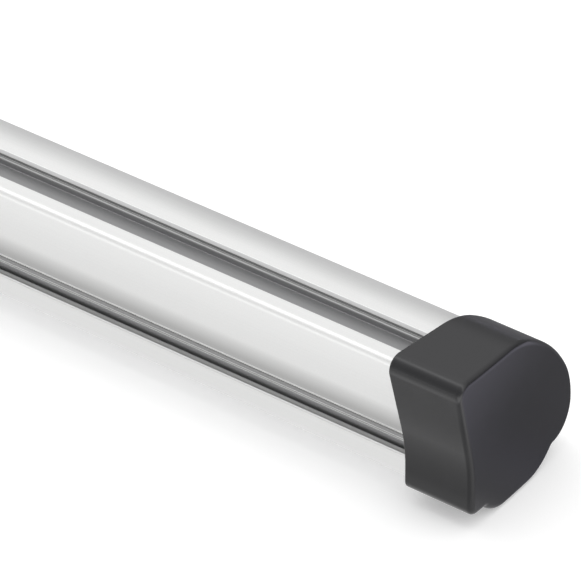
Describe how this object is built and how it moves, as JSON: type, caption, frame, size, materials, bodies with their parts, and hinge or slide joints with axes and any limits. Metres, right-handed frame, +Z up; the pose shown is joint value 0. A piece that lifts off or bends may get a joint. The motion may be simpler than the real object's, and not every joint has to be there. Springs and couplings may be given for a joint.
{
  "type": "roof rack crossbar",
  "caption": "Hollow aerodynamic aluminium roof rack crossbar with an open channel along its top, an accessory slot along its tail and a moulded cap over each end.",
  "frame": {"origin": "middle of the bar's length and width, on the plane that the end caps rest on", "axes": "+X along the bar, +Y towards the rounded nose, +Z up"},
  "size_m": [1.2464, 0.073, 0.0605],
  "materials": {
    "bar_aluminium": "smooth satin extrusion, clear anodised, fine die lines along its length",
    "cap_plastic": "dark grey-black moulded plastic, fine satin grain"
  },
  "bodies": {
    "root": {"crossbar_extrusion": "bar_aluminium", "end_cap_right": "cap_plastic", "end_cap_left": "cap_plastic"}
  },
  "joints": []
}
